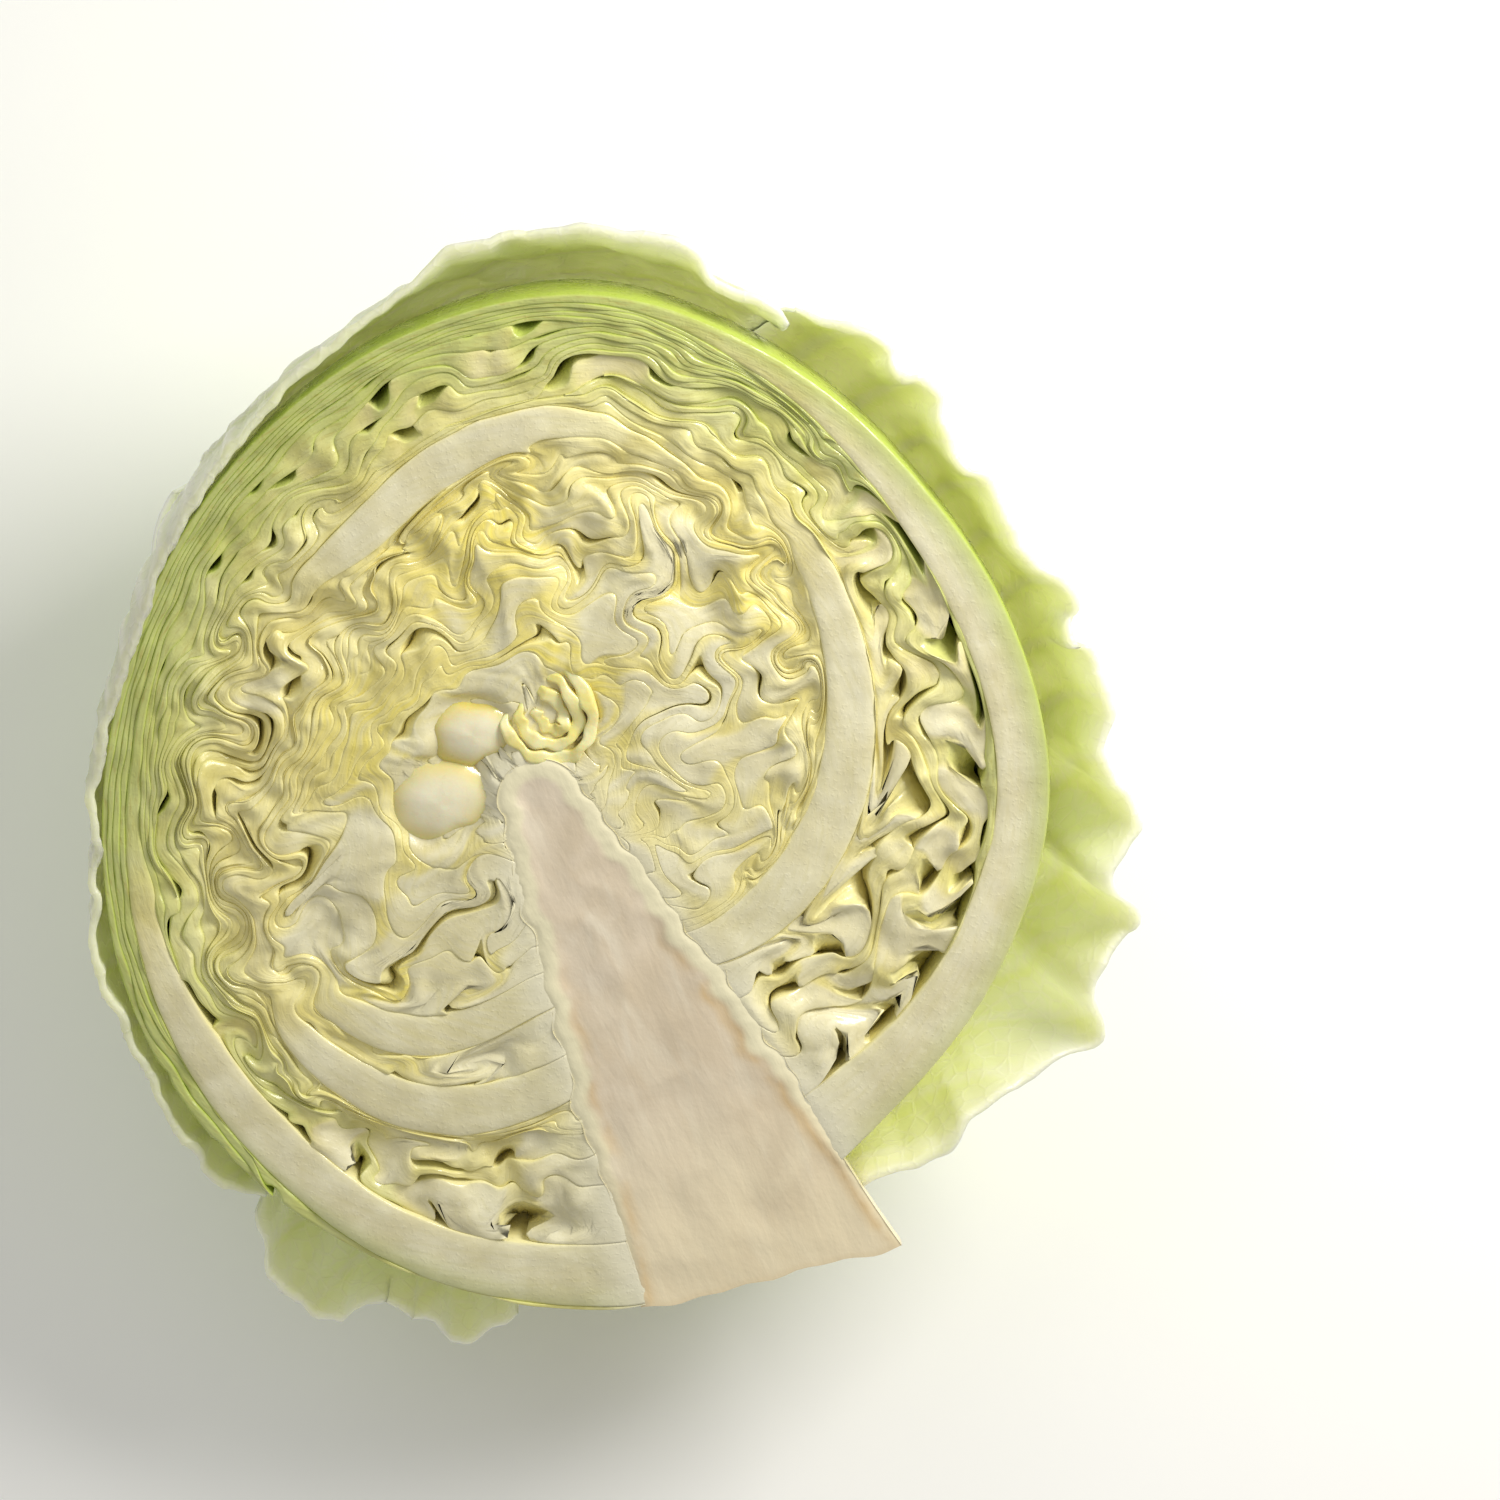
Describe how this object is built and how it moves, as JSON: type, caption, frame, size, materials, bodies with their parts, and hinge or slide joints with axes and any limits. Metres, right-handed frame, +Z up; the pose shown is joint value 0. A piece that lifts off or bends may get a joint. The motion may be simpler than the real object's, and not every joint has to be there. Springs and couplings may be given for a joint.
{
  "type": "cabbage half",
  "caption": "White cabbage head cut in half through its core, lying on its rounded back with the leafy cut face up.",
  "frame": {"origin": "middle of the bounding box's underside, on the table", "axes": "+X to the right along the cut face, +Y towards the raised crown side, +Z up; the cut face leans 22 degrees from level towards -Y, where the stem end is"},
  "size_m": [0.176, 0.1834, 0.1229],
  "materials": {
    "inner_leaf": "crisp moist leaf of the tight head, ivory with pale green and yellow tints, glistening where it is cut",
    "outer_leaf": "thin pale green leaf layers, moist at the cut",
    "wrapper_leaf": "waxy bright yellow-green outside leaf with pale veins",
    "heart_leaf": "tender yellowish young leaf, glossy",
    "core": "dense pinkish-ivory stem tissue, smoothly cut, with tan lines along its flanks"
  },
  "bodies": {
    "root": {"core": "core", "crinkled_leaf_1": "inner_leaf", "crinkled_leaf_2": "inner_leaf", "crinkled_leaf_3": "inner_leaf", "crinkled_leaf_4": "inner_leaf", "crinkled_leaf_5": "inner_leaf", "crown_leaf": "inner_leaf", "crown_rib_leaf": "inner_leaf", "flank_leaf": "inner_leaf", "heart_bud_1": "heart_leaf", "heart_bud_2": "heart_leaf", "heart_curl": "heart_leaf", "heart_leaf_1": "heart_leaf", "heart_leaf_2": "heart_leaf", "heart_leaf_3": "heart_leaf", "inner_leaf_1": "inner_leaf", "inner_leaf_2": "inner_leaf", "inner_leaf_3": "inner_leaf", "inner_leaf_4": "inner_leaf", "left_wrapper": "wrapper_leaf", "outer_leaf_1": "outer_leaf", "outer_leaf_2": "outer_leaf", "outer_leaf_3": "outer_leaf", "outer_leaf_4": "outer_leaf", "outer_leaf_5": "outer_leaf", "pocket_leaf_1": "inner_leaf", "pocket_leaf_2": "inner_leaf", "rib_leaf_1": "inner_leaf", "rib_leaf_2": "inner_leaf", "rib_leaf_3": "inner_leaf", "right_wrapper": "wrapper_leaf", "torn_leaf": "wrapper_leaf", "under_leaf": "wrapper_leaf"}
  },
  "joints": []
}
